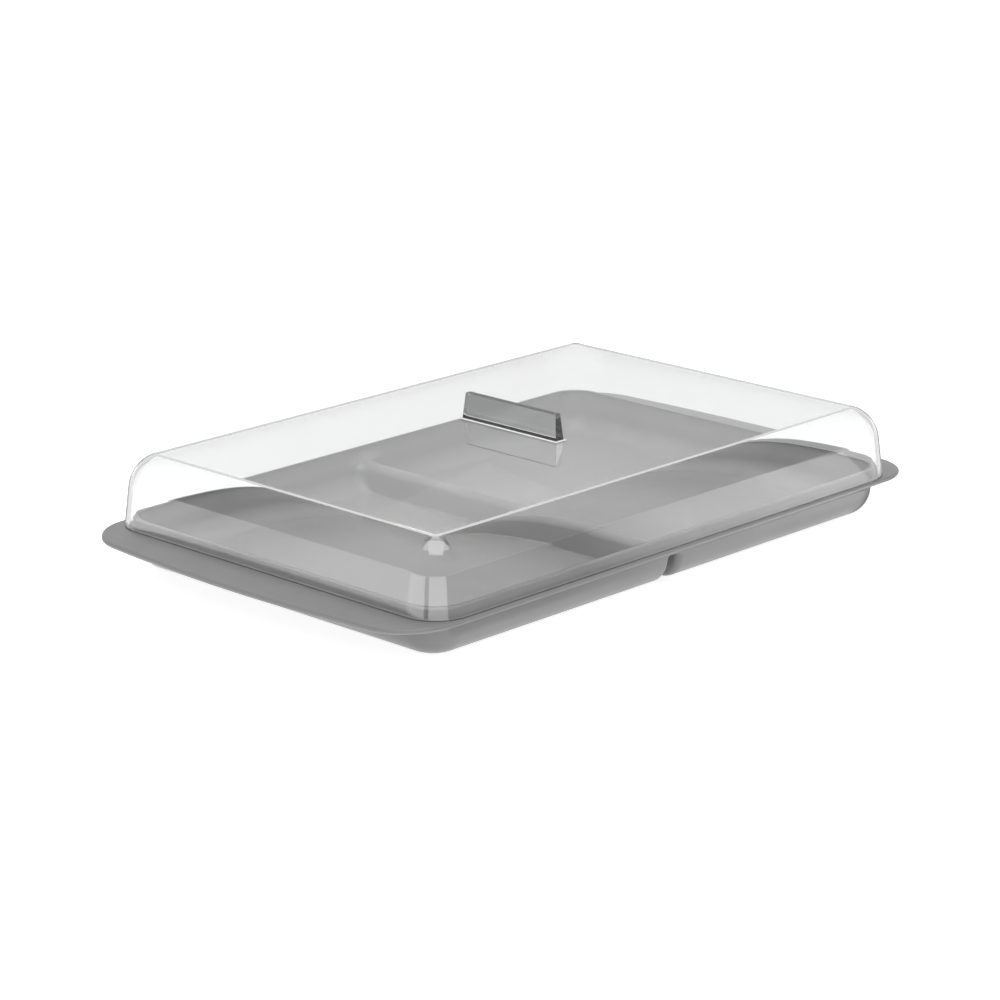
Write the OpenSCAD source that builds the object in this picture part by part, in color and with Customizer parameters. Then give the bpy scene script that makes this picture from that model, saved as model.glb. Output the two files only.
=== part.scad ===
// Covered tray: a two-basin tray, a clear dome that stands on its rim, and the dome's lift tab
// Millimetres, +Z up, length along X, origin at the middle of the underside

/* [Dome] */
// Length of the dome over its foot
dome_length = 352.6; // [300:0.2:420]
// Width of the dome over its foot
dome_width = 238.4; // [190:0.2:300]
// Height of the dome above the rim
dome_height = 37.9; // [32:0.1:60]
// Thickness of the dome's wall
dome_wall = 2.2; // [2:0.1:4]
// Lean of the dome's walls, in degrees
dome_draft = 7; // [3:0.5:10]
// Radius of the rounded shoulder between wall and top
shoulder_radius = 20; // [14:0.5:24]
// Angle at which the shoulder meets the flat top, in degrees
crease_angle = 15; // [8:1:24]
// Plan radius of the corners of the flat top
top_corner_radius = 3.2; // [2.6:0.2:12]

/* [Rim] */
// Thickness of the rim
rim_thickness = 2.6; // [2:0.1:4]
// Width of the rim outside the dome along the long sides
rim_width = 0.8; // [0.4:0.1:12]
// Reach of each end ear beyond the dome
ear_reach = 23.7; // [16:0.1:40]
// Plan radius of each ear's bowed edge
ear_bow_radius = 1075; // [500:25:3000]
// Plan radius of the rim's corners
rim_corner_radius = 30; // [26:0.5:44]

/* [Lip] */
// Height of the locating lip above the rim
lip_height = 5.1; // [4:0.1:10]
// Width of the lip at its top
lip_width = 2.4; // [2.2:0.1:4]
// Radius of the lip's top edges
lip_round = 1; // [0.6:0.1:1.1]
// Gap between the lip and the inside of the dome
lip_clearance = 1.6; // [0.4:0.1:2.4]

/* [Basins] */
// Depth of the basins below the rim's top
basin_depth = 19; // [17:0.5:30]
// Lean of the basin walls, in degrees
basin_draft = 5.5; // [3:0.5:8]
// Plan radius of the basins' outer corners, inside at the lip's top
basin_corner_radius = 17.8; // [16:0.1:24]
// Radius between the basins' walls and floor, inside
floor_fillet = 12; // [8:0.5:12]
// Thickness of the basin floors
floor_thickness = 3; // [2:0.1:4]
// Thickness of the end walls, which carry the ears
end_wall = 4.8; // [3:0.1:5]
// Thickness of the long side walls
side_wall = 2.6; // [2:0.1:4]

/* [Ridge] */
// Drop of the ridge's crest below the rim's top
ridge_drop = 3.3; // [2.8:0.1:5]
// Radius of the rounded crest
ridge_radius = 4.5; // [4:0.1:6]
// Thickness of the ridge's skin over the slot beneath it
ridge_wall = 1.6; // [1.4:0.1:3]
// Plan radius of the basin corners beside the ridge
ridge_corner_radius = 6.5; // [6:0.1:9]
// Radius between the ridge's sides and the basin floors
ridge_fillet = 1.5; // [1:0.1:4.5]
// Plan radius of the tub's corners beside the slot
slot_corner_radius = 4.5; // [4.5:0.1:9]
// Radius between the slot's sides and the tub's underside
slot_fillet = 3.2; // [2:0.1:3.2]

/* [Tab] */
// Length of the tab at its foot
tab_length = 68; // [40:1:100]
// Height of the tab above the dome
tab_height = 14.2; // [8:0.1:25]
// Thickness of the tab at its foot
tab_thickness = 5.9; // [4:0.1:8]
// Thickness of the tab at its top
tab_top_thickness = 3.6; // [2.5:0.1:8]
// Lean of the tab's two ends, in degrees
tab_lean = 6; // [0:1:20]
// Radius of the tab's upper corners
tab_round = 1; // [0.5:0.1:2]
// Depth of the groove that the tab stands in
groove_depth = 0.8; // [0.4:0.1:1]
// Glue gap at each side of the tab's foot
glue_gap = 0.1; // [0.05:0.05:0.3]

/* [Hidden] */
$fn = 96;
big_circle_fn = 1440;
// Overshoot of a cut past the face that it opens
cut = 1;
// Sideways room that keeps the ridge blocks off the basin walls
block_room = 0.02;

rim_top = basin_depth + floor_thickness;
rim_under = rim_top - rim_thickness;
lip_top = rim_top + lip_height;
dome_top = rim_top + dome_height;

// Dome: half sizes at the foot, the shoulder's arc, and the crease round the flat top
foot_x = dome_length / 2;
foot_y = dome_width / 2;
wall_run = dome_wall / cos(dome_draft);
arc_z = dome_top - shoulder_radius * cos(crease_angle);
bend_z = arc_z + shoulder_radius * sin(dome_draft);
bend_in = (bend_z - rim_top) * tan(dome_draft);
crease_in = bend_in + shoulder_radius * (cos(dome_draft) - sin(crease_angle));
foot_corner_radius = top_corner_radius + crease_in;
arc_r = top_corner_radius - shoulder_radius * sin(crease_angle);

// Lip: its outer face follows the inside of the dome, and the basins start at its inner edge
lip_in = wall_run + lip_clearance;
lip_x = foot_x - lip_in;
lip_y = foot_y - lip_in;
lip_corner_radius = foot_corner_radius - lip_in;
lip_lean = lip_height * tan(dome_draft);
mouth_x = lip_x - lip_lean - lip_width;
mouth_y = lip_y - lip_lean - lip_width;

// Basins: how much their walls come in for each millimetre down
lean = tan(basin_draft);
tub_in = (lip_top - rim_under) * lean;
tub_x = mouth_x - tub_in + end_wall;
tub_y = mouth_y - tub_in + side_wall;
tub_corner_radius = basin_corner_radius - tub_in + (end_wall + side_wall) / 2;
tub_fillet = floor_fillet + floor_thickness;

// Ridge: height of the crest's centre line
ridge_z = rim_top - ridge_drop - ridge_radius;

// Rim: the corner arcs meet the long sides and the bowed ends without a kink
rim_y = foot_y + rim_width;
ear_x = foot_x + ear_reach;
bow_x = ear_x - ear_bow_radius;
corner_y = rim_y - rim_corner_radius;
corner_run = sqrt(pow(ear_bow_radius - rim_corner_radius, 2) - pow(corner_y, 2));
corner_x = bow_x + corner_run;
bow_angle = atan2(corner_y, corner_run);

// Place of a corner's axis, on a hundredth so that neighbouring stretches meet face to face
function axis_at(half, radius) = round((half - radius) * 100) / 100;

// Carries an upright half section round a rounded rectangle: four turned corners and four straight sides
module around(half_x, half_y, radius) {
    for (quarter = [0:3]) {
        side_along_x = quarter % 2 == 1;
        reach = axis_at(side_along_x ? half_y : half_x, radius);
        half_run = axis_at(side_along_x ? half_x : half_y, radius);
        rotate([0, 0, 90 * quarter]) {
            translate([reach, half_run, 0])
                rotate([90, 0, 0])
                    linear_extrude(2 * half_run)
                        children();
            translate([reach, half_run, 0])
                rotate_extrude(angle = 90)
                    children();
        }
    }
}

// Half section of a tapered block: width at z_wide, coming in towards z_flat, with a rounded edge there
module taper_half(width, z_wide, z_flat, slope, fillet) {
    turn = atan(slope);
    up = sign(z_flat - z_wide);
    edge = width - slope * abs(z_flat - z_wide);
    centre_x = edge - fillet * (1 - sin(turn)) / cos(turn);
    centre_z = z_flat - up * fillet;
    polygon([
        [0, z_wide],
        [width, z_wide],
        [centre_x + fillet * cos(turn), centre_z + up * fillet * sin(turn)],
        [centre_x, z_flat],
        [0, z_flat]
    ]);
    intersection() {
        translate([centre_x, centre_z])
            circle(fillet);
        translate([0, min(centre_z, z_flat)])
            square([width, fillet]);
    }
}

// Tapered block with rounded corners and one rounded edge loop; sizes are those at z_wide
module taper_block(half_x, half_y, radius, z_wide, z_flat, slope, fillet) {
    around(half_x, half_y, radius)
        taper_half(radius, z_wide, z_flat, slope, fillet);
    core_x = axis_at(half_x, radius);
    core_y = axis_at(half_y, radius);
    translate([-core_x, -core_y, min(z_wide, z_flat)])
        cube([2 * core_x, 2 * core_y, abs(z_wide - z_flat)]);
}

// Two basins that part over a round-topped ridge; sizes are those at z_wide
module twin_basins(half_x, half_y, radius, z_wide, z_floor, fillet,
                   crest_radius, crest_corner, crest_fillet) {
    split_z = ridge_z + crest_radius * sin(basin_draft);
    split_x = crest_radius * cos(basin_draft);
    block_y = half_y - (z_wide - split_z) * lean + block_room;
    block_x = half_x / 2 + cut;
    // The two blocks below the crest reach up into the stretch above it
    grow = cut * lean;
    difference() {
        intersection() {
            taper_block(half_x, half_y, radius, z_wide, z_floor, lean, fillet);
            union() {
                for (side = [-1, 1])
                    translate([side * (split_x + block_x), 0, 0])
                        taper_block(block_x + grow, block_y + grow, crest_corner + grow, split_z + cut,
                                    z_floor, lean, crest_fillet);
                translate([-half_x, -half_y, split_z])
                    cube([2 * half_x, 2 * half_y, z_wide - split_z]);
            }
        }
        translate([0, half_y + cut, 0])
            rotate([90, 0, 0])
                linear_extrude(2 * (half_y + cut))
                    intersection() {
                        translate([0, ridge_z])
                            circle(crest_radius);
                        translate([-crest_radius, split_z])
                            square(2 * crest_radius);
                    }
    }
}

// Flat rim: straight long sides, round corners and bowed ears
module rim() {
    translate([0, 0, rim_under])
        linear_extrude(rim_thickness) {
            square([2 * corner_x, 2 * rim_y], center = true);
            for (x = [-1, 1], y = [-1, 1])
                translate([x * corner_x, y * corner_y])
                    circle(rim_corner_radius);
            intersection() {
                translate([bow_x, 0])
                    circle(ear_bow_radius, $fn = big_circle_fn);
                translate([-bow_x, 0])
                    circle(ear_bow_radius, $fn = big_circle_fn);
                square([2 * ear_x, 2 * ear_bow_radius * sin(bow_angle)], center = true);
            }
        }
}

// Grey moulding: rim with ears, lip and two basins
module tray() {
    mouth_z = lip_top + cut;
    mouth_out = cut * lean;
    round_x = basin_corner_radius + lip_round * (1 - sin(basin_draft)) / cos(basin_draft);
    round_z = lip_top - lip_round;
    color("gray")
        difference() {
            union() {
                rim();
                taper_block(lip_x, lip_y, lip_corner_radius, rim_top - rim_thickness / 2, lip_top,
                            tan(dome_draft), lip_round);
                twin_basins(tub_x, tub_y, tub_corner_radius, rim_under + rim_thickness / 2, 0, tub_fillet,
                            ridge_radius - ridge_wall, slot_corner_radius, slot_fillet);
            }
            twin_basins(mouth_x + mouth_out, mouth_y + mouth_out, basin_corner_radius + mouth_out,
                        mouth_z, floor_thickness, floor_fillet,
                        ridge_radius, ridge_corner_radius, ridge_fillet);
            around(mouth_x, mouth_y, basin_corner_radius)
                difference() {
                    polygon([
                        [round_x - lip_round * cos(basin_draft), round_z + lip_round * sin(basin_draft)],
                        [basin_corner_radius + mouth_out, mouth_z],
                        [round_x, mouth_z],
                        [round_x, lip_top]
                    ]);
                    translate([round_x, round_z])
                        circle(lip_round);
                }
        }
}

// Half section of the dome's solid outline, drawn in from the outside by a given thickness
module dome_half(inset, z_foot) {
    radius = shoulder_radius - inset;
    z_top = dome_top - inset;
    crease = acos((z_top - arc_z) / radius);
    bend = [arc_r + radius * cos(dome_draft), arc_z + radius * sin(dome_draft)];
    polygon([
        [0, z_foot],
        [bend[0] + (bend[1] - z_foot) * tan(dome_draft), z_foot],
        bend,
        [arc_r + radius * sin(crease), z_top],
        [0, z_top]
    ]);
    intersection() {
        translate([arc_r, arc_z])
            circle(radius);
        translate([0, arc_z])
            square([2 * radius, z_top - arc_z]);
    }
}

// Clear shell: leaning walls, round shoulders and a flat top with a groove for the tab
module dome_cover() {
    crease_x = foot_x - crease_in;
    crease_y = foot_y - crease_in;
    flat_x = axis_at(crease_x, top_corner_radius);
    flat_y = axis_at(crease_y, top_corner_radius);
    groove = [tab_thickness + 2 * glue_gap, tab_length + 2 * glue_gap, groove_depth + cut];
    color("whitesmoke", 0.4)
        difference() {
            union() {
                around(crease_x, crease_y, top_corner_radius)
                    difference() {
                        dome_half(0, rim_top);
                        dome_half(dome_wall, rim_top - cut);
                    }
                translate([-flat_x, -flat_y, dome_top - dome_wall])
                    cube([2 * flat_x, 2 * flat_y, dome_wall]);
            }
            translate([-groove[0] / 2, -groove[1] / 2, dome_top - groove_depth])
                cube(groove);
        }
}

// Outline of the lift tab as seen along its thickness
module tab_outline() {
    half = tab_length / 2;
    run = tab_height * tan(tab_lean);
    tip = [half - run - tab_round * (1 - sin(tab_lean)) / cos(tab_lean), dome_top + tab_height - tab_round];
    for (side = [0, 1])
        mirror([side, 0]) {
            polygon([
                [0, dome_top - groove_depth],
                [half, dome_top - groove_depth],
                [half, dome_top],
                tip + tab_round * [cos(tab_lean), sin(tab_lean)],
                tip + tab_round * [0, 1],
                [0, dome_top + tab_height]
            ]);
            translate(tip)
                circle(tab_round);
        }
}

// Section of the lift tab: upright in the groove, then thinner towards its top
module tab_section() {
    foot = tab_thickness / 2;
    top = tab_top_thickness / 2;
    polygon([
        [-foot, dome_top - groove_depth],
        [foot, dome_top - groove_depth],
        [foot, dome_top],
        [top, dome_top + tab_height],
        [-top, dome_top + tab_height],
        [-foot, dome_top]
    ]);
}

// Clear upright plate that lifts the dome, standing in its groove
module lift_tab() {
    room = max(tab_thickness, tab_top_thickness) / 2 + cut;
    end = tab_length / 2 + cut;
    color("whitesmoke", 0.5)
        intersection() {
            rotate([90, 0, 90])
                translate([0, 0, -room])
                    linear_extrude(2 * room)
                        tab_outline();
            translate([0, end, 0])
                rotate([90, 0, 0])
                    linear_extrude(2 * end)
                        tab_section();
        }
}

tray();
dome_cover();
lift_tab();
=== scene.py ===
import math

import bmesh
import bpy
from mathutils import Matrix, Vector


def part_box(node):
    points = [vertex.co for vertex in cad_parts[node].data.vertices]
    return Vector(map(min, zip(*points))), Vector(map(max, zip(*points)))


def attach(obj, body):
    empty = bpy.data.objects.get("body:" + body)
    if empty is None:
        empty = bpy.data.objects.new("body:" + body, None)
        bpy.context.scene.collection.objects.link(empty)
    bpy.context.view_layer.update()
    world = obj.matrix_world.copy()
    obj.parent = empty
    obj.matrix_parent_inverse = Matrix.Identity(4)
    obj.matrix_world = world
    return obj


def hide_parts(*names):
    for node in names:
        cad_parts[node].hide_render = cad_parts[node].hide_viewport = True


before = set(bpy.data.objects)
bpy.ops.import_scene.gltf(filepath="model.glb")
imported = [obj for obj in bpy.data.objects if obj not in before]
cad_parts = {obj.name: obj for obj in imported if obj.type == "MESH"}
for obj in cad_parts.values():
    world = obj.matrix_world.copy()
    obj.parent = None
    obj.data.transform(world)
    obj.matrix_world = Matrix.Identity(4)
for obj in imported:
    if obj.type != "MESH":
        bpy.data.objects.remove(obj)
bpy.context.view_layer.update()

MM = 0.001

# Sizes read from the frame, in metres
tray_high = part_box("tray")[1]
dome_low, dome_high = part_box("dome_cover")
tab_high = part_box("lift_tab")[1]
RIM_TOP = dome_low.z
LIP_TOP = tray_high.z
DOME_TOP = dome_high.z
FOOT_X = dome_high.x
FOOT_Y = dome_high.y
EAR_X = tray_high.x
RIM_Y = tray_high.y

# Dome: wall, lean of the walls, shoulder arc, the crease round the flat top, and the gap under the foot
DOME_WALL = 2.2 * MM
DOME_DRAFT = math.radians(7)
SHOULDER_RADIUS = 20 * MM
CREASE_ANGLE = math.radians(15)
CREASE_ROUND = 3.6 * MM
INNER_CREASE_ROUND = 1 * MM
DOME_GAP = 0.1 * MM
TOP_CORNER_RADIUS = 3.2 * MM

# Rim and lip
RIM_THICKNESS = 2.6 * MM
EAR_BOW_RADIUS = 1075 * MM
RIM_CORNER_RADIUS = 30 * MM
EAR_DROOP = 1.0 * MM
LIP_WIDTH = 2.4 * MM
LIP_ROUND = 1.0 * MM
LIP_CLEARANCE = 1.6 * MM
RIM_FILLET = 3.0 * MM
LIP_FILLET = 0.5 * MM

# Basins and the ridge between them
BASIN_DRAFT = math.radians(5.5)
BASIN_LEAN = math.tan(BASIN_DRAFT)
BASIN_CORNER_RADIUS = 17.8 * MM
FLOOR_FILLET = 12 * MM
FLOOR_THICKNESS = 3 * MM
END_WALL = 4.8 * MM
SIDE_WALL = 2.6 * MM
RIDGE_DROP = 3.3 * MM
RIDGE_RADIUS = 4.5 * MM
RIDGE_WALL = 1.6 * MM
RIDGE_CORNER_RADIUS = 6.5 * MM
RIDGE_FILLET = 1.5 * MM
SLOT_CORNER_RADIUS = 4.5 * MM
SLOT_FILLET = 3.2 * MM

# Tab: an upright plate that thins towards its top, with leaning ends and a small bead round its foot
TAB_TOP_THICKNESS = 3.6 * MM
TAB_LEAN = math.radians(6)
TAB_EDGE = 0.25 * MM
TAB_BEAD_WIDTH = 1.3 * MM
TAB_BEAD_HEIGHT = 0.3 * MM
TAB_GAP = 0.02 * MM

# Steps of the tray's mesh: half a long side, half a short side, a corner, the ridge, the ears and the rounds
LONG_STEPS = 10
SHORT_STEPS = 8
CORNER_STEPS = 20
RIDGE_STEPS = 16
RIDGE_CORNER_STEPS = 8
EAR_STEPS = 6
ARC_STEPS = 14
RIM_FILLET_STEPS = 6
LIP_FILLET_STEPS = 5
LIP_ROUND_STEPS = 8

# Steps of the dome's and the tab's meshes
DOME_CORNER_STEPS = 32
SHOULDER_STEPS = 40
CREASE_STEPS = 8
TAB_EDGE_STEPS = 3
TAB_BEAD_STEPS = 6

# A flat stretch beside a rounded one is held flat by a loop this far in
SUPPORT = 0.6 * MM

# Signs of the four corners, anticlockwise
CORNERS = ((1, 1), (-1, 1), (-1, -1), (1, -1))

# Points of the dome's section that agree to this many digits of a millimetre are one point
SAME_POINT_DIGITS = 6

# Places of the painted shade on the dome's foot and under the tab, and of the painted highlight on the tab's
# bead
FOOT_SHADE_PLACE = 1
TAB_FOOT_SHADE_PLACE = 1
BEAD_HIGHLIGHT_PLACE = 2

# Worked out: centre of the shoulder's arc, its lower end, and how far the crease lies in from the foot
ARC_R = TOP_CORNER_RADIUS - SHOULDER_RADIUS * math.sin(CREASE_ANGLE)
ARC_Z = DOME_TOP - SHOULDER_RADIUS * math.cos(CREASE_ANGLE)
BEND_Z = ARC_Z + SHOULDER_RADIUS * math.sin(DOME_DRAFT)
BEND_IN = (BEND_Z - RIM_TOP) * math.tan(DOME_DRAFT)
CREASE_IN = BEND_IN + SHOULDER_RADIUS * (math.cos(DOME_DRAFT) - math.sin(CREASE_ANGLE))

# Worked out: the lip follows the inside of the dome, and the basins start at its inner edge
LIP_IN = DOME_WALL / math.cos(DOME_DRAFT) + LIP_CLEARANCE
LIP_X = FOOT_X - LIP_IN
LIP_Y = FOOT_Y - LIP_IN
LIP_RADIUS = TOP_CORNER_RADIUS + CREASE_IN - LIP_IN
LIP_LEAN = (LIP_TOP - RIM_TOP) * math.tan(DOME_DRAFT)
MOUTH_X = LIP_X - LIP_LEAN - LIP_WIDTH
MOUTH_Y = LIP_Y - LIP_LEAN - LIP_WIDTH
RIM_UNDER = RIM_TOP - RIM_THICKNESS
TUB_IN = (LIP_TOP - RIM_UNDER) * BASIN_LEAN


def fractions(count):
    """Even steps from 0 up to, but not including, 1."""
    return [i / count for i in range(count)]


def straight(start, end, count):
    """Points along a line, without its end."""
    run, rise = end[0] - start[0], end[1] - start[1]
    return [(start[0] + run * t, start[1] + rise * t) for t in fractions(count)]


def arc(centre, radius, start, end, count):
    """Points along an arc between two angles in degrees, without its end."""
    angles = [math.radians(start + (end - start) * t) for t in fractions(count)]
    return [(centre[0] + radius * math.cos(a), centre[1] + radius * math.sin(a)) for a in angles]


def level(points, z):
    """Plan points as 3-D points at one height."""
    return [Vector((x, y, z)) for x, y in points]


def rounded_loop(half_x, half_y, radius, z):
    """Rounded rectangle, anticlockwise from the middle of its front side."""
    x, y = half_x - radius, half_y - radius
    points = straight((0, -half_y), (x, -half_y), LONG_STEPS)
    points += arc((x, -y), radius, -90, 0, CORNER_STEPS)
    points += straight((half_x, -y), (half_x, y), 2 * SHORT_STEPS)
    points += arc((x, y), radius, 0, 90, CORNER_STEPS)
    points += straight((x, half_y), (-x, half_y), 2 * LONG_STEPS)
    points += arc((-x, y), radius, 90, 180, CORNER_STEPS)
    points += straight((-half_x, y), (-half_x, -y), 2 * SHORT_STEPS)
    points += arc((-x, -y), radius, 180, 270, CORNER_STEPS)
    points += straight((-x, -half_y), (0, -half_y), LONG_STEPS)
    return level(points, z)


def rim_loop(inset, z):
    """The rim's outline drawn in by inset: straight long sides, round corners and bowed ears."""
    bow_x = EAR_X - EAR_BOW_RADIUS
    corner_y = RIM_Y - RIM_CORNER_RADIUS
    run = math.sqrt((EAR_BOW_RADIUS - RIM_CORNER_RADIUS) ** 2 - corner_y**2)
    corner_x = bow_x + run
    turn = math.degrees(math.atan2(corner_y, run))
    edge_y = RIM_Y - inset
    corner = RIM_CORNER_RADIUS - inset
    bow = EAR_BOW_RADIUS - inset
    points = straight((0, -edge_y), (corner_x, -edge_y), LONG_STEPS)
    points += arc((corner_x, -corner_y), corner, -90, -turn, CORNER_STEPS)
    points += arc((bow_x, 0), bow, -turn, turn, 2 * SHORT_STEPS)
    points += arc((corner_x, corner_y), corner, turn, 90, CORNER_STEPS)
    points += straight((corner_x, edge_y), (-corner_x, edge_y), 2 * LONG_STEPS)
    points += arc((-corner_x, corner_y), corner, 90, 180 - turn, CORNER_STEPS)
    points += arc((-bow_x, 0), bow, 180 - turn, 180 + turn, 2 * SHORT_STEPS)
    points += arc((-corner_x, -corner_y), corner, 180 + turn, 270, CORNER_STEPS)
    points += straight((-corner_x, -edge_y), (0, -edge_y), LONG_STEPS)
    return level(points, z)


def drooped(points):
    """The same points with the ears' outer edge a little lower than the rim."""
    reach = [max(0, abs(p.x) - FOOT_X) / (EAR_X - FOOT_X) for p in points]
    return [p - Vector((0, 0, EAR_DROOP * r**2)) for p, r in zip(points, reach)]


def between(first, last, count):
    """Loops evenly spaced between two loops."""
    return [[a.lerp(b, t) for a, b in zip(first, last)] for t in fractions(count)[1:]]


def basin_loop(side, ridge_x, ridge_radius, half_x, half_y, radius, z):
    """One basin's outline, from the back of the ridge round the outer end and back along the ridge."""
    inner_x = ridge_x + ridge_radius
    ridge_y = half_y - ridge_radius
    x, y = half_x - radius, half_y - radius
    points = straight((inner_x, half_y), (x, half_y), LONG_STEPS)
    points += arc((x, y), radius, 90, 0, CORNER_STEPS)
    points += straight((half_x, y), (half_x, -y), 2 * SHORT_STEPS)
    points += arc((x, -y), radius, 0, -90, CORNER_STEPS)
    points += straight((x, -half_y), (inner_x, -half_y), LONG_STEPS)
    points += arc((inner_x, -ridge_y), ridge_radius, 270, 180, RIDGE_CORNER_STEPS)
    points += straight((ridge_x, -ridge_y), (ridge_x, ridge_y), RIDGE_STEPS)
    points += arc((inner_x, ridge_y), ridge_radius, 180, 90, RIDGE_CORNER_STEPS)
    return level([(side * px, py) for px, py in points], z)


def band(bm, lower, upper):
    """Faces between two closed loops of vertices, leaving out sides of no length."""
    for i in range(len(lower)):
        j = (i + 1) % len(lower)
        corners = list(dict.fromkeys((lower[i], lower[j], upper[j], upper[i])))
        if len(corners) > 2:
            bm.faces.new(corners)


def finish_mesh(name, bm, material, body, node):
    """Turns a bmesh into a smooth piece that rides on a body and stands for a CAD node."""
    bmesh.ops.recalc_face_normals(bm, faces=bm.faces)
    mesh = bpy.data.meshes.new(name)
    bm.to_mesh(mesh)
    bm.free()
    mesh.shade_smooth()
    return place(name, mesh, material, body, node)


def place(name, mesh, material, body, node):
    """Puts a mesh in the scene as a piece of the object."""
    piece = bpy.data.objects.new(name, mesh)
    bpy.context.scene.collection.objects.link(piece)
    mesh.materials.append(material)
    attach(piece, body)
    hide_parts(node)
    return piece


class Basins:
    """Wall and ridge of the two basins at any height, for their inside or their outside."""

    def __init__(self, half_x, half_y, radius, z_wide, floor, fillet, crest, ridge_radius, ridge_fillet):
        self.half_x = half_x
        self.half_y = half_y
        self.radius = radius
        self.z_wide = z_wide
        self.floor = floor
        self.fillet = fillet
        self.crest = crest
        self.ridge_radius = ridge_radius
        self.ridge_fillet = ridge_fillet
        self.ridge_z = RIM_TOP - RIDGE_DROP - RIDGE_RADIUS
        self.top = self.ridge_z + crest

    def arc_or_line(self, z, fillet, line_in):
        """Distance that a leaning wall has come in at z, with its fillet at the floor."""
        centre_z = self.floor + fillet
        if z >= centre_z - fillet * math.sin(BASIN_DRAFT):
            return line_in(z)
        centre_in = line_in(self.floor) + fillet * (1 - math.sin(BASIN_DRAFT)) / math.cos(BASIN_DRAFT)
        return centre_in - math.sqrt(max(0, fillet**2 - (centre_z - z) ** 2))

    def wall_in(self, z):
        """Distance that the outer wall has come in at z."""
        return self.arc_or_line(z, self.fillet, self.wall_side)

    def wall_side(self, z):
        """Distance that the outer wall's leaning stretch has come in at z."""
        return (self.z_wide - z) * BASIN_LEAN

    def ridge_x(self, z):
        """Half the ridge's width at z: a round crest, leaning sides and a fillet."""
        rise = z - self.ridge_z
        if rise >= self.crest * math.sin(BASIN_DRAFT):
            return math.sqrt(max(0, self.crest**2 - rise**2))
        return self.arc_or_line(z, self.ridge_fillet, self.ridge_side)

    def ridge_side(self, z):
        """Half the ridge's width at z on its leaning sides."""
        return (self.crest - (z - self.ridge_z) * math.sin(BASIN_DRAFT)) / math.cos(BASIN_DRAFT)

    def ridge_corner(self, z):
        """Plan radius at z of the corner between ridge and wall."""
        shoulder = self.crest * math.cos(BASIN_DRAFT)
        ridge = self.ridge_x(z)
        if z >= self.ridge_z + self.crest * math.sin(BASIN_DRAFT):
            return self.ridge_radius * ridge / shoulder
        return max(self.ridge_radius - (ridge - shoulder), SUPPORT)

    def whole_loop(self, z):
        """Outline of both basins together at z, above the ridge."""
        inset = self.wall_in(z)
        return rounded_loop(self.half_x - inset, self.half_y - inset, self.radius - inset, z)

    def half_loop(self, side, z, extra=0.0):
        """One basin's outline at z, drawn in further by extra."""
        inset = self.wall_in(z) + extra
        return basin_loop(
            side,
            self.ridge_x(z) + extra,
            max(self.ridge_corner(z) - extra, SUPPORT / 2),
            self.half_x - inset,
            self.half_y - inset,
            self.radius - inset,
            z,
        )

    def levels(self):
        """Heights of the loops below the crest, close together where the walls curve."""
        turn = BASIN_DRAFT
        steps = [(i + 1) / ARC_STEPS for i in range(ARC_STEPS)]
        crest_turns = [math.pi / 2 + (turn - math.pi / 2) * t for t in steps]
        crest = [self.ridge_z + self.crest * math.sin(a) for a in crest_turns]
        fillet_z = self.floor + self.fillet
        fillet_turns = [turn + (math.pi / 2 - turn) * t for t in steps]
        fillet = [fillet_z - self.fillet * math.sin(a) for a in fillet_turns]
        return crest + [fillet_z - self.fillet * math.sin(turn)] + fillet

    def build(self, bm, whole):
        """Two closed basins hung below a whole loop of vertices at the crest's height."""
        half = len(whole) // 2
        front, back = whole[0], whole[half]
        ridge = straight((0, front.co.y), (0, back.co.y), RIDGE_STEPS)[1:]
        crest = [bm.verts.new((x, y, self.top)) for x, y in ridge]
        for side in (1, -1):
            outer = [whole[(half - side * k) % len(whole)] for k in range(half + 1)]
            above = outer + [front] * RIDGE_CORNER_STEPS + crest + [back] * RIDGE_CORNER_STEPS
            for z in self.levels():
                below = [bm.verts.new(p) for p in self.half_loop(side, z)]
                band(bm, below, above)
                above = below
            inner = [bm.verts.new(p) for p in self.half_loop(side, self.floor, SUPPORT)]
            band(bm, inner, above)
            bm.faces.new(inner)


def quarter(count):
    """Angles from 0 to a right angle."""
    return [math.pi / 2 * i / count for i in range(count + 1)]


def tub_loops(outside):
    """Loops from the slot's crest up the tubs' wall and round the fillet below the rim."""
    fillet_z = RIM_UNDER - RIM_FILLET
    start = outside.wall_in(fillet_z)

    def grown(out, z):
        """The tubs' top outline grown by out."""
        return rounded_loop(outside.half_x + out, outside.half_y + out, outside.radius + out, z)

    loops = [outside.whole_loop(outside.top)]
    for a in quarter(RIM_FILLET_STEPS):
        loops.append(grown(RIM_FILLET * (1 - math.cos(a)) - start, fillet_z + RIM_FILLET * math.sin(a)))
    loops.append(grown(RIM_FILLET - start + SUPPORT, RIM_UNDER))
    return loops


def rim_loops():
    """Loops round the rim's edge, from its underside to its top."""
    edge = RIM_THICKNESS / 2
    loops = [rim_loop(edge + SUPPORT, RIM_UNDER)]
    for i in range(2 * ARC_STEPS + 1):
        a = math.pi * (i / (2 * ARC_STEPS) - 0.5)
        loops.append(rim_loop(edge * (1 - math.cos(a)), RIM_UNDER + edge + edge * math.sin(a)))
    loops.append(rim_loop(edge + SUPPORT, RIM_TOP))
    return loops


def lip_loop(inset, z):
    """The lip's outer outline drawn in by inset."""
    return rounded_loop(LIP_X - inset, LIP_Y - inset, LIP_RADIUS - inset, z)


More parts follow.
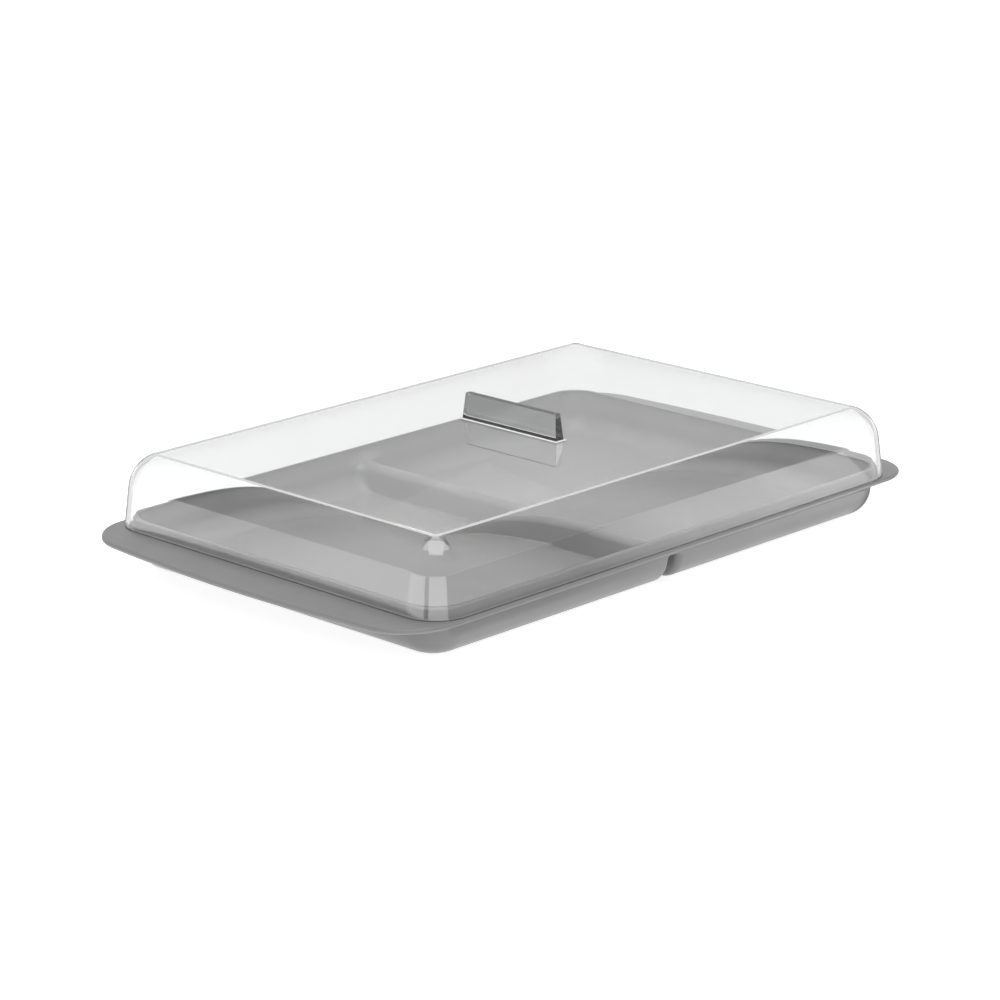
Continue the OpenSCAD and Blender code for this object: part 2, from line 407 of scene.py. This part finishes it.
def lip_loops(inside):
    """Loops over the lip: fillet at its foot, leaning face, round top, and down to the ridge's crest."""
    loops = [lip_loop(-LIP_FILLET - SUPPORT / 2, RIM_TOP)]
    for a in quarter(LIP_FILLET_STEPS):
        loops.append(lip_loop(-LIP_FILLET * (1 - math.sin(a)), RIM_TOP + LIP_FILLET * (1 - math.cos(a))))
    outer_in = LIP_LEAN * (1 - LIP_ROUND / (LIP_TOP - RIM_TOP))
    inner_in = inside.wall_in(LIP_TOP - LIP_ROUND) - LIP_ROUND
    for a in quarter(LIP_ROUND_STEPS):
        z = LIP_TOP - LIP_ROUND * (1 - math.sin(a))
        loops.append(lip_loop(outer_in + LIP_ROUND * (1 - math.cos(a)), z))
    for a in reversed(quarter(LIP_ROUND_STEPS)):
        z = LIP_TOP - LIP_ROUND * (1 - math.sin(a))
        inset = inner_in + LIP_ROUND * (1 - math.cos(a))
        loops.append(rounded_loop(MOUTH_X - inset, MOUTH_Y - inset, BASIN_CORNER_RADIUS - inset, z))
    loops.append(inside.whole_loop(inside.top))
    return loops


def make_tray(material):
    """Grey moulding as one closed skin: basins, lip, rim, and the tubs' outside."""
    inside = Basins(
        half_x=MOUTH_X,
        half_y=MOUTH_Y,
        radius=BASIN_CORNER_RADIUS,
        z_wide=LIP_TOP,
        floor=FLOOR_THICKNESS,
        fillet=FLOOR_FILLET,
        crest=RIDGE_RADIUS,
        ridge_radius=RIDGE_CORNER_RADIUS,
        ridge_fillet=RIDGE_FILLET,
    )
    outside = Basins(
        half_x=MOUTH_X - TUB_IN + END_WALL,
        half_y=MOUTH_Y - TUB_IN + SIDE_WALL,
        radius=BASIN_CORNER_RADIUS - TUB_IN + (END_WALL + SIDE_WALL) / 2,
        z_wide=RIM_UNDER,
        floor=0,
        fillet=FLOOR_FILLET + FLOOR_THICKNESS,
        crest=RIDGE_RADIUS - RIDGE_WALL,
        ridge_radius=SLOT_CORNER_RADIUS,
        ridge_fillet=SLOT_FILLET,
    )
    tub = tub_loops(outside)
    rim = rim_loops()
    lip = lip_loops(inside)
    rim_under_side = between(tub[-1], rim[0], EAR_STEPS)
    rim_upper_side = between(rim[-1], lip[0], EAR_STEPS)
    loops = tub + rim_under_side + rim + rim_upper_side + lip
    bm = bmesh.new()
    rings = [[bm.verts.new(p) for p in drooped(loop)] for loop in loops]
    for lower, upper in zip(rings, rings[1:]):
        band(bm, lower, upper)
    outside.build(bm, rings[0])
    inside.build(bm, rings[-1])
    finish_mesh("tray_moulding", bm, material, "tray", "tray")


def dome_profile():
    """Closed upright section of the dome's wall as stretches of (reach, height, normal out, normal up)."""
    lean = math.tan(DOME_DRAFT)
    foot_z = RIM_TOP + DOME_GAP

    def turned_arc(centre_r, centre_z, radius, start, end, steps, way):
        """Points of an arc with their normals, from one angle above level to another."""
        points = []
        for i in range(steps + 1):
            angle = start + (end - start) * i / steps
            out, up = math.cos(angle), math.sin(angle)
            points.append((centre_r + radius * out, centre_z + radius * up, way * out, way * up))
        return points

    def shoulder(inset, small, way):
        """Shoulder arc and the small round that joins it to the flat top, drawn in by inset."""
        radius, height = SHOULDER_RADIUS - inset, DOME_TOP - inset
        round_z = height - small
        turn = math.asin((round_z - ARC_Z) / (radius - small))
        round_r = ARC_R + (radius - small) * math.cos(turn)
        large = turned_arc(ARC_R, ARC_Z, radius, DOME_DRAFT, turn, SHOULDER_STEPS, way)
        return large + turned_arc(round_r, round_z, small, turn, math.pi / 2, CREASE_STEPS, way)[1:]

    def wall(bend, way):
        """Leaning wall from the foot up to the shoulder."""
        normal = (way * math.cos(DOME_DRAFT), way * math.sin(DOME_DRAFT))
        foot = bend[0] + (bend[1] - foot_z) * lean
        return [(foot, foot_z, *normal), (bend[0], bend[1], *normal)]

    outer = shoulder(0, CREASE_ROUND, 1)
    inner = shoulder(DOME_WALL, INNER_CREASE_ROUND, -1)
    outer_wall, inner_wall = wall(outer[0], 1), wall(inner[0], -1)
    foot = [(inner_wall[0][0], foot_z, 0, -1), (outer_wall[0][0], foot_z, 0, -1)]
    reach = outer_wall[0][0] + DOME_GAP * lean
    axis_x = FOOT_X - reach
    axis_y = FOOT_Y - reach
    return [outer_wall, outer], [inner[::-1], inner_wall[::-1], foot], axis_x, axis_y


def dome_stations(axis_x, axis_y):
    """Places round the dome's outline as (corner axis x, corner axis y, angle)."""
    stations = []
    for corner, (sx, sy) in enumerate(CORNERS):
        for i in range(DOME_CORNER_STEPS + 1):
            stations.append((sx * axis_x, sy * axis_y, math.pi / 2 * (corner + i / DOME_CORNER_STEPS)))
    return stations


def dome_surface(outer, inner, stations):
    """Vertices, faces and true normals of the section swept round the outline, with the flat top closed."""
    count = len(stations)
    verts, faces, normals, known = [], [], [], {}

    def ring(reach, height):
        """Index of the first vertex of the ring at this place in the section."""
        key = (round(reach / MM, SAME_POINT_DIGITS), round(height / MM, SAME_POINT_DIGITS))
        if key not in known:
            known[key] = len(verts)
            verts.extend((x + reach * math.cos(t), y + reach * math.sin(t), height) for x, y, t in stations)
        return known[key]

    def turned(out, up, station):
        """A section's normal turned to a station round the outline."""
        return (out * math.cos(station[2]), out * math.sin(station[2]), up)

    for stretch in outer + inner:
        for low, high in zip(stretch, stretch[1:]):
            a = ring(low[0], low[1])
            b = ring(high[0], high[1])
            for j in range(count):
                k = (j + 1) % count
                faces.append((a + j, a + k, b + k, b + j))
                normals += [turned(low[2], low[3], stations[j]), turned(low[2], low[3], stations[k])]
                normals += [turned(high[2], high[3], stations[k]), turned(high[2], high[3], stations[j])]
    top = ring(*outer[-1][-1][:2])
    under = ring(*inner[0][0][:2])
    faces.append(tuple(range(top, top + count)))
    normals += [(0, 0, 1)] * count
    faces.append(tuple(reversed(range(under, under + count))))
    normals += [(0, 0, -1)] * count
    return verts, faces, normals


def make_dome(material, foot_shade_material):
    """Clear shell: leaning walls, round shoulders, flat top and the crease round it, with a matt foot painted
    dark as the shade line where it stands on the rim.
    """
    outer, inner, axis_x, axis_y = dome_profile()
    verts, faces, normals = dome_surface(outer, inner, dome_stations(axis_x, axis_y))
    mesh = bpy.data.meshes.new("dome_shell")
    mesh.from_pydata(verts, [], faces)
    mesh.shade_smooth()
    mesh.normals_split_custom_set(normals)
    place("dome_shell", mesh, material, "cover", "dome_cover")
    mesh.materials.append(foot_shade_material)
    # The foot's underside is painted dark grey as shade, which draws the dark line along the dome's foot
    for face in mesh.polygons:
        if all(mesh.vertices[v].co.z < RIM_TOP + 2 * DOME_GAP for v in face.vertices):
            face.material_index = FOOT_SHADE_PLACE


def tab_loop(half_x, half_y, z):
    """Rectangle with small round corners, anticlockwise."""
    x, y = half_x - TAB_EDGE, half_y - TAB_EDGE
    points = []
    for turn, (sx, sy) in enumerate(CORNERS):
        points += arc((sx * x, sy * y), TAB_EDGE, 90 * turn, 90 * (turn + 1), TAB_EDGE_STEPS)
        angle = math.radians(90 * (turn + 1))
        points.append((sx * x + TAB_EDGE * math.cos(angle), sy * y + TAB_EDGE * math.sin(angle)))
    return level(points, z)


def make_tab(material, tab_foot_shade_material, bead_highlight_material):
    """Clear upright plate with softened edges, standing on an underside painted near black as the shade line
    at its foot, with a bead round it painted pale as a highlight.
    """
    foot_x, foot_y = tab_high.x, tab_high.y
    low, high = DOME_TOP + TAB_GAP, tab_high.z
    lean_x = (foot_x - TAB_TOP_THICKNESS / 2) / (high - DOME_TOP)
    lean_y = math.tan(TAB_LEAN)

    def section(z, out):
        """Outline of the plate at z, grown by out."""
        rise = z - DOME_TOP
        return tab_loop(foot_x - rise * lean_x + out, foot_y - rise * lean_y + out, z)

    loops = []
    for a in quarter(TAB_BEAD_STEPS):
        loops.append(section(low + TAB_BEAD_HEIGHT * math.sin(a), TAB_BEAD_WIDTH * math.cos(a)))
    loops.append(section(low + TAB_BEAD_HEIGHT + SUPPORT, 0))
    for a in quarter(TAB_EDGE_STEPS):
        loops.append(section(high - TAB_EDGE * (1 - math.sin(a)), -TAB_EDGE * (1 - math.cos(a))))
    bm = bmesh.new()
    rings = [[bm.verts.new(p) for p in loop] for loop in loops]
    for lower, upper in zip(rings, rings[1:]):
        band(bm, lower, upper)
    # The bead round the foot is painted pale as a highlight line
    for face in bm.faces:
        if max(v.co.z for v in face.verts) < low + TAB_BEAD_HEIGHT + SUPPORT / 2:
            face.material_index = BEAD_HIGHLIGHT_PLACE
    # The underside is painted near black as the shade at the tab's foot
    joint = bm.faces.new(rings[0])
    joint.material_index = TAB_FOOT_SHADE_PLACE
    bm.faces.new(rings[-1])
    piece = finish_mesh("tab_plate", bm, material, "cover", "lift_tab")
    piece.data.materials.append(tab_foot_shade_material)
    piece.data.materials.append(bead_highlight_material)
    piece.modifiers.new("flat faces", "WEIGHTED_NORMAL")


# Grey plastic: two tones, range of roughness, and the grain on it
GREY_LOW = (0.19, 0.19, 0.189, 1)
GREY_HIGH = (0.204, 0.204, 0.203, 1)
GREY_SMOOTH = 0.28
GREY_ROUGH = 0.34
GRAIN_STRENGTH = 0.003
GRAIN_DEPTH = 0.1 * MM
GRAIN_DETAIL = 2.0

# Clear plastic: tints, highest roughness, and the dark grey painted shade on the dome where it is seen
# edge-on
DOME_TINT = (0.985, 0.99, 0.988, 1)
TAB_TINT = (0.99, 1, 0.995, 1)
PLASTIC_IOR = 1.49
POLISH_ROUGH = 0.012
EDGE_ON_SHADE_START = 0.76
EDGE_ON_SHADE = (0.07, 0.07, 0.07, 1)

# Light that is caught inside the clear plastic comes out after this many bounces
TRAPPED_DEPTH = 3
TRAPPED_TINT = (0.95, 0.95, 0.95, 1)

# Matt surfaces: darkest and palest tone of the painted shade on the dome's foot and under the tab, and of the
# painted highlight on the bead round the tab
MATT_ROUGH = 0.9
FOOT_SHADE_TONES = (0.07, 0.1)
TAB_FOOT_SHADE_TONES = (0.004, 0.01)
BEAD_HIGHLIGHT_TONES = (0.75, 0.85)

# Scales of the noises: uneven tone, uneven gloss, moulded grain, specks and uneven polish
TONE_SCALE = 18.0
GLOSS_SCALE = 60.0
GRAIN_SCALE = 1800.0
SPECK_SCALE = 400.0
POLISH_SCALE = 25.0

# Middle values that a noise mostly stays between
NOISE_LOW = 0.3
NOISE_HIGH = 0.7


def new_material(name):
    """Empty node material with its nodes and links."""
    material = bpy.data.materials.new(name)
    material.use_nodes = True
    nodes = material.node_tree.nodes
    nodes.clear()
    return material, nodes, material.node_tree.links


def noise(nodes, links, scale, detail=3.0):
    """Noise over the object's own space."""
    place_in = nodes.new("ShaderNodeTexCoord")
    texture = nodes.new("ShaderNodeTexNoise")
    texture.inputs["Scale"].default_value = scale
    texture.inputs["Detail"].default_value = detail
    links.new(place_in.outputs["Object"], texture.inputs["Vector"])
    return texture.outputs["Fac"]


def spread(nodes, links, source, low, high):
    """Maps a texture's middle values onto a range."""
    ramp = nodes.new("ShaderNodeMapRange")
    ramp.inputs["From Min"].default_value = NOISE_LOW
    ramp.inputs["From Max"].default_value = NOISE_HIGH
    ramp.inputs["To Min"].default_value = low
    ramp.inputs["To Max"].default_value = high
    links.new(source, ramp.inputs["Value"])
    return ramp.outputs["Result"]


def compare(nodes, links, operation, source, limit):
    """1 where a value is past a limit, otherwise 0."""
    test = nodes.new("ShaderNodeMath")
    test.operation = operation
    test.inputs[1].default_value = limit
    links.new(source, test.inputs[0])
    return test.outputs["Value"]


def more_than(nodes, links, source, count):
    """1 where a whole number is more than count, otherwise 0."""
    return compare(nodes, links, "GREATER_THAN", source, count + 0.5)


def at_most(nodes, links, source, count):
    """1 where a whole number is count or less, otherwise 0."""
    return compare(nodes, links, "LESS_THAN", source, count + 0.5)


def product(nodes, links, *sources):
    """Several values multiplied together."""
    result = sources[0]
    for source in sources[1:]:
        times = nodes.new("ShaderNodeMath")
        times.operation = "MULTIPLY"
        links.new(result, times.inputs[0])
        links.new(source, times.inputs[1])
        result = times.outputs["Value"]
    return result


def blend(nodes, links, factor, low, high):
    """Colour between two others."""
    tone = nodes.new("ShaderNodeMix")
    tone.data_type = "RGBA"
    tone.inputs["A"].default_value = low
    tone.inputs["B"].default_value = high
    links.new(factor, tone.inputs["Factor"])
    return tone.outputs["Result"]


def choose(nodes, links, factor, first, second):
    """First shader where the factor is 0, second where it is 1."""
    mix = nodes.new("ShaderNodeMixShader")
    links.new(factor, mix.inputs["Fac"])
    links.new(first, mix.inputs[1])
    links.new(second, mix.inputs[2])
    return mix.outputs["Shader"]


def grey_plastic():
    """Satin moulded plastic with a fine grain and slightly uneven tone."""
    material, nodes, links = new_material("grey_moulding")
    shader = nodes.new("ShaderNodeBsdfPrincipled")
    out = nodes.new("ShaderNodeOutputMaterial")
    links.new(shader.outputs["BSDF"], out.inputs["Surface"])
    uneven = spread(nodes, links, noise(nodes, links, TONE_SCALE), 0, 1)
    links.new(blend(nodes, links, uneven, GREY_LOW, GREY_HIGH), shader.inputs["Base Color"])
    gloss = spread(nodes, links, noise(nodes, links, GLOSS_SCALE), GREY_SMOOTH, GREY_ROUGH)
    links.new(gloss, shader.inputs["Roughness"])
    grain = nodes.new("ShaderNodeBump")
    grain.inputs["Strength"].default_value = GRAIN_STRENGTH
    grain.inputs["Distance"].default_value = GRAIN_DEPTH
    links.new(noise(nodes, links, GRAIN_SCALE, GRAIN_DETAIL), grain.inputs["Height"])
    links.new(grain.outputs["Normal"], shader.inputs["Normal"])
    return material


def matt(name, tones):
    """Matt grey with an uneven tone between two levels."""
    material, nodes, links = new_material(name)
    shader = nodes.new("ShaderNodeBsdfPrincipled")
    out = nodes.new("ShaderNodeOutputMaterial")
    links.new(shader.outputs["BSDF"], out.inputs["Surface"])
    low, high = ((tone, tone, tone, 1) for tone in tones)
    uneven = spread(nodes, links, noise(nodes, links, SPECK_SCALE), 0, 1)
    links.new(blend(nodes, links, uneven, low, high), shader.inputs["Base Color"])
    shader.inputs["Roughness"].default_value = MATT_ROUGH
    return material


def clear_plastic(name, tint, edge_on_shade):
    """Polished clear plastic that lamps shine through, with faint uneven polish; where it is seen edge-on its
    colour turns to the edge colour, which is painted shade on the dome.
    """
    material, nodes, links = new_material(name)
    shader = nodes.new("ShaderNodeBsdfPrincipled")
    shader.inputs["Transmission Weight"].default_value = 1.0
    shader.inputs["IOR"].default_value = PLASTIC_IOR
    # Painted shade: the colour turns towards the edge colour where the surface is seen edge-on
    edge = nodes.new("ShaderNodeLayerWeight")
    grazing = nodes.new("ShaderNodeMapRange")
    grazing.inputs["From Min"].default_value = EDGE_ON_SHADE_START
    grazing.inputs["From Max"].default_value = 1.0
    links.new(edge.outputs["Facing"], grazing.inputs["Value"])
    links.new(blend(nodes, links, grazing.outputs["Result"], tint, edge_on_shade), shader.inputs["Base Color"])
    polish = spread(nodes, links, noise(nodes, links, POLISH_SCALE), 0.0, POLISH_ROUGH)
    links.new(polish, shader.inputs["Roughness"])
    let_out = nodes.new("ShaderNodeBsdfTransparent")
    let_out.inputs["Color"].default_value = TRAPPED_TINT
    shone_through = nodes.new("ShaderNodeBsdfTransparent")
    shone_through.inputs["Color"].default_value = tint
    path = nodes.new("ShaderNodeLightPath")
    trapped = more_than(nodes, links, path.outputs["Ray Depth"], TRAPPED_DEPTH)
    seen = choose(nodes, links, trapped, shader.outputs["BSDF"], let_out.outputs["BSDF"])
    surface = choose(nodes, links, path.outputs["Is Shadow Ray"], seen, shone_through.outputs["BSDF"])
    out = nodes.new("ShaderNodeOutputMaterial")
    links.new(surface, out.inputs["Surface"])
    return material


# Studio: grey sky, the floor with its own glow and a lower one behind clear plastic, and the lamp overhead
SKY_LIGHT = 0.74
FLOOR_COLOUR = (0.8, 0.8, 0.8, 1)
FLOOR_GLOW = 0.75
FLOOR_GLOW_BEHIND = 0.29
FLOOR_SIZE = 6.0
LAMP_ELEVATION = 78
LAMP_DISTANCE = 1.6
LAMP_SIZE = 1.2
LAMP_RADIANCE = 2.1

# Camera at the photograph's angle, in degrees, with its distance, lens and aim
CAMERA_AZIMUTH = -46.04
CAMERA_ELEVATION = 16.82
CAMERA_ROLL = -0.17
CAMERA_DISTANCE = 1.7743
CAMERA_LENS = 121.2
SENSOR = 36.0
AIM_RIGHT = -6.6 * MM
AIM_UP = -0.9 * MM

# Studio cards: where they lie, and the directions that the two near walls mirror, in degrees
NEAR_CORNER = Vector((-155.8 * MM, -98.7 * MM, 0))
CARD_RISE = 1 * MM
CARD_REACH = 1.5
CARD_SETBACK = 5 * MM
BAND_START = 0.15
BAND_END = 0.9
OVERHEAD_SIZE = 1.4
OVERHEAD_HEIGHT = 1.3
FRONT_MIRROR = -45
LEFT_MIRROR = 135

# Directions from the near corner between which its bands of light and dark lie, in degrees
BAND_LEFT = 141
GAP_LEFT = 192
GAP_RIGHT = 204
BAND_RIGHT = 256

# Places along the front wall where it stops being dark, is bare, starts to brighten, is brightest and ends
DARK_X = -67 * MM
BARE_X = 20 * MM
GAIN_X = 30 * MM
FULL_X = 130 * MM
LAST_X = 180 * MM

# Place along the left wall where it starts to brighten
GAIN_Y = 30 * MM

# Radiance of the cards, and of the bare floor in mirrors
BARE_FLOOR = 1.55
OVERHEAD_LEVEL = 4.7
BAND_LEVEL = 2.6
FRONT_LEVEL = 2.6
LEFT_LEVEL = 2.5
DARK_LEVEL = 0.45
SIDE_LEVEL = 0.8
BACK_LEVEL = 0.08

# Mirror images seen through more surfaces of clear plastic than this leave out the cards and the floor's glow
MIRROR_CROSSINGS = 2


def make_world():
    """Even grey sky that the camera sees as white."""
    world = bpy.data.worlds.new("studio")
    bpy.context.scene.world = world
    world.use_nodes = True
    nodes = world.node_tree.nodes
    links = world.node_tree.links
    nodes.clear()
    sky = nodes.new("ShaderNodeBackground")
    sky.inputs["Strength"].default_value = SKY_LIGHT
    white = nodes.new("ShaderNodeBackground")
    white.inputs["Strength"].default_value = 1.0
    for shade in (sky, white):
        shade.inputs["Color"].default_value = (1, 1, 1, 1)
    path = nodes.new("ShaderNodeLightPath")
    out = nodes.new("ShaderNodeOutputWorld")
    camera_ray = path.outputs["Is Camera Ray"]
    surface = choose(nodes, links, camera_ray, sky.outputs["Background"], white.outputs["Background"])
    links.new(surface, out.inputs["Surface"])


def link_stage(name, corners, material):
    """Flat face of the studio, which is no part of the object."""
    mesh = bpy.data.meshes.new(name)
    mesh.from_pydata(corners, [], [tuple(range(len(corners)))])
    mesh.materials.append(material)
    piece = bpy.data.objects.new(name, mesh)
    bpy.context.scene.collection.objects.link(piece)
    return mesh


def square(size, z):
    """Corners of a level square over the origin."""
    half = size / 2
    return [(-half, -half, z), (half, -half, z), (half, half, z), (-half, half, z)]


def floor_glow(nodes, links):
    """Strength of the floor's glow: less behind clear plastic and in mirrors deep inside it."""
    path = nodes.new("ShaderNodeLightPath")
    crossings = path.outputs["Transmission Depth"]
    mirrors = path.outputs["Glossy Depth"]
    direct = at_most(nodes, links, path.outputs["Diffuse Depth"], 0)
    unmirrored = at_most(nodes, links, mirrors, 0)
    seen_through = product(nodes, links, path.outputs["Is Transmission Ray"], unmirrored, direct)
    mirrored = more_than(nodes, links, mirrors, 0)
    deep = more_than(nodes, links, crossings, MIRROR_CROSSINGS)
    deep_mirror = product(nodes, links, mirrored, deep, direct)
    either = nodes.new("ShaderNodeMath")
    either.operation = "ADD"
    links.new(seen_through, either.inputs[0])
    links.new(deep_mirror, either.inputs[1])
    strength = nodes.new("ShaderNodeMapRange")
    strength.inputs["To Min"].default_value = FLOOR_GLOW
    strength.inputs["To Max"].default_value = FLOOR_GLOW_BEHIND
    links.new(either.outputs["Value"], strength.inputs["Value"])
    return strength.outputs["Result"]


def make_floor():
    """Floor that keeps the object's shadow, with a glow of its own that mirrors show brighter than white."""
    material, nodes, links = new_material("floor")
    shade = nodes.new("ShaderNodeBsdfDiffuse")
    shade.inputs["Color"].default_value = FLOOR_COLOUR
    glow = nodes.new("ShaderNodeEmission")
    links.new(floor_glow(nodes, links), glow.inputs["Strength"])
    add = nodes.new("ShaderNodeAddShader")
    out = nodes.new("ShaderNodeOutputMaterial")
    links.new(shade.outputs["BSDF"], add.inputs[0])
    links.new(glow.outputs["Emission"], add.inputs[1])
    links.new(add.outputs["Shader"], out.inputs["Surface"])
    link_stage("floor", square(FLOOR_SIZE, 0), material)


def make_lamp():
    """Square soft lamp high over the object, a little to the camera's side of it."""
    data = bpy.data.lights.new("overhead", "AREA")
    data.shape = "RECTANGLE"
    data.size = LAMP_SIZE
    data.size_y = LAMP_SIZE
    data.energy = 4 * LAMP_SIZE * LAMP_SIZE * LAMP_RADIANCE
    lamp = bpy.data.objects.new("overhead", data)
    bpy.context.scene.collection.objects.link(lamp)
    turn = math.radians(CAMERA_AZIMUTH - 90)
    lift = math.radians(LAMP_ELEVATION)
    towards = Vector((math.cos(turn) * math.cos(lift), math.sin(turn) * math.cos(lift), math.sin(lift)))
    lamp.location = Vector((0, 0, RIM_TOP)) + towards * LAMP_DISTANCE
    lamp.rotation_euler = towards.to_track_quat("Z", "Y").to_euler()


def card(name, corners, levels, least_crossings=0):
    """Flat studio card that only mirror images show, with its own radiance at each corner.

    Images seen through fewer surfaces of clear plastic than least_crossings leave it out.
    """
    material, nodes, links = new_material(name)
    shade = nodes.new("ShaderNodeAttribute")
    shade.attribute_name = "radiance"
    glow = nodes.new("ShaderNodeEmission")
    links.new(shade.outputs["Fac"], glow.inputs["Strength"])
    clear = nodes.new("ShaderNodeBsdfTransparent")
    path = nodes.new("ShaderNodeLightPath")
    crossings = path.outputs["Transmission Depth"]
    shown = product(
        nodes,
        links,
        more_than(nodes, links, path.outputs["Glossy Depth"], 0),
        at_most(nodes, links, path.outputs["Diffuse Depth"], 0),
        at_most(nodes, links, crossings, MIRROR_CROSSINGS),
        more_than(nodes, links, crossings, least_crossings - 1),
        at_most(nodes, links, path.outputs["Is Shadow Ray"], 0),
    )
    out = nodes.new("ShaderNodeOutputMaterial")
    surface = choose(nodes, links, shown, clear.outputs["BSDF"], glow.outputs["Emission"])
    links.new(surface, out.inputs["Surface"])
    mesh = link_stage(name, corners, material)
    radiance = mesh.attributes.new("radiance", "FLOAT", "POINT")
    radiance.data.foreach_set("value", levels)


def toward(point, azimuth, distance):
    """Plan point at a distance from another one, in a direction in degrees."""
    turn = math.radians(azimuth)
    return (point[0] + distance * math.cos(turn), point[1] + distance * math.sin(turn))


def floor_card(name, corners, levels, rise=CARD_RISE):
    """Card lying just above the floor, with its corners in plan."""
    card(name, [(x, y, rise) for x, y in corners], levels)


def band_card(name, start, end, radiance):
    """Card spread between two directions from the near corner, which the dome's corner shows as a band."""
    near = [toward(NEAR_CORNER, azimuth, BAND_START) for azimuth in (start, end)]
    far = [toward(NEAR_CORNER, azimuth, BAND_END) for azimuth in (end, start)]
    floor_card(name, near + far, [radiance] * 4)


def strip_card(name, first, last, azimuth, first_radiance, last_radiance):
    """Card that runs out from a stretch of a flat wall in the direction that the wall mirrors."""
    corners = [first, toward(first, azimuth, CARD_REACH), toward(last, azimuth, CARD_REACH), last]
    floor_card(name, corners, [first_radiance, first_radiance, last_radiance, last_radiance])


def flag(name, first, first_azimuth, last, last_azimuth, radiance, rise=CARD_RISE):
    """Dark card between two points on the floor that runs out from each in its own direction."""
    first_far = toward(first, first_azimuth, CARD_REACH)
    last_far = toward(last, last_azimuth, CARD_REACH)
    floor_card(name, [first, first_far, last_far, last], [radiance] * 4, rise)


def make_overhead_card():
    """Large bright card that lights up the creases and the near top corner from inside the plastic."""
    card("overhead_card", square(OVERHEAD_SIZE, OVERHEAD_HEIGHT), [OVERHEAD_LEVEL] * 4, least_crossings=1)


def make_corner_cards():
    """Two bright bands with a dark line between them on the dome's near corner."""
    band_card("left_band", BAND_LEFT, GAP_LEFT, BAND_LEVEL)
    band_card("band_gap", GAP_LEFT, GAP_RIGHT, DARK_LEVEL)
    band_card("right_band", GAP_RIGHT, BAND_RIGHT, BAND_LEVEL)


def make_wall_cards():
    """Levels along the two near walls: dark beside the near corner at the front, bright at the far ends."""
    front_y = -FOOT_Y - CARD_SETBACK
    left_x = -FOOT_X - CARD_SETBACK
    corner = (NEAR_CORNER.x, front_y)
    dark, bare, gain, full, last = ((x, front_y) for x in (DARK_X, BARE_X, GAIN_X, FULL_X, LAST_X))
    flag("front_flag", corner, BAND_RIGHT, dark, FRONT_MIRROR, DARK_LEVEL, CARD_RISE / 2)
    strip_card("front_fade", dark, bare, FRONT_MIRROR, DARK_LEVEL, BARE_FLOOR)
    strip_card("front_gain", gain, full, FRONT_MIRROR, BARE_FLOOR, FRONT_LEVEL)
    strip_card("front_end", full, last, FRONT_MIRROR, FRONT_LEVEL, FRONT_LEVEL)
    strip_card("left_gain", (left_x, GAIN_Y), (left_x, FOOT_Y), LEFT_MIRROR, BARE_FLOOR, LEFT_LEVEL)


def make_edge_flags():
    """Dark cards behind and beside the dome that draw its outline."""
    flag(
        "back_flag",
        first=(-179 * MM, 124 * MM),
        first_azimuth=61,
        last=(179 * MM, -124 * MM),
        last_azimuth=27,
        radiance=BACK_LEVEL,
    )
    flag(
        "left_flag",
        first=(-220 * MM, 150 * MM),
        first_azimuth=99,
        last=(-120 * MM, 150 * MM),
        last_azimuth=74,
        radiance=SIDE_LEVEL,
        rise=CARD_RISE / 2,
    )
    flag(
        "right_flag",
        first=(190 * MM, -150 * MM),
        first_azimuth=-21,
        last=(190 * MM, -80 * MM),
        last_azimuth=16,
        radiance=SIDE_LEVEL,
        rise=CARD_RISE / 2,
    )


def make_camera():
    """Camera that looks close to the rim's middle from the photograph's side."""
    azimuth = math.radians(CAMERA_AZIMUTH)
    elevation = math.radians(CAMERA_ELEVATION)
    roll = math.radians(CAMERA_ROLL)
    back = Vector((
        math.sin(azimuth) * math.cos(elevation),
        -math.cos(azimuth) * math.cos(elevation),
        math.sin(elevation),
    ))
    right = Vector((math.cos(azimuth), math.sin(azimuth), 0))
    up = back.cross(right)
    eye = Vector((0, 0, RIM_TOP)) + back * CAMERA_DISTANCE + right * AIM_RIGHT + up * AIM_UP
    side = right * math.cos(roll) + up * math.sin(roll)
    top = up * math.cos(roll) - right * math.sin(roll)
    data = bpy.data.cameras.new("camera")
    data.lens = CAMERA_LENS
    data.sensor_width = SENSOR
    camera = bpy.data.objects.new("camera", data)
    bpy.context.scene.collection.objects.link(camera)
    turn = Matrix((side, top, back)).transposed().to_4x4()
    camera.matrix_world = Matrix.Translation(eye) @ turn
    bpy.context.scene.camera = camera


make_camera()
make_world()
make_floor()
make_lamp()
make_overhead_card()
make_corner_cards()
make_wall_cards()
make_edge_flags()
# The dome's colour turns dark grey where it is seen edge-on: painted shade that draws its outline
clear_dome = clear_plastic("clear_dome", DOME_TINT, EDGE_ON_SHADE)
clear_tab = clear_plastic("clear_tab", TAB_TINT, TAB_TINT)
make_tray(grey_plastic())
# The dome's foot and the tab's underside are painted dark as shade; the tab's bead is painted pale as a
# highlight
make_dome(clear_dome, matt("painted_foot_shade", FOOT_SHADE_TONES))
make_tab(clear_tab, matt("painted_tab_foot_shade", TAB_FOOT_SHADE_TONES), matt("painted_bead_highlight", BEAD_HIGHLIGHT_TONES))

bpy.context.scene.view_settings.view_transform = "Standard"
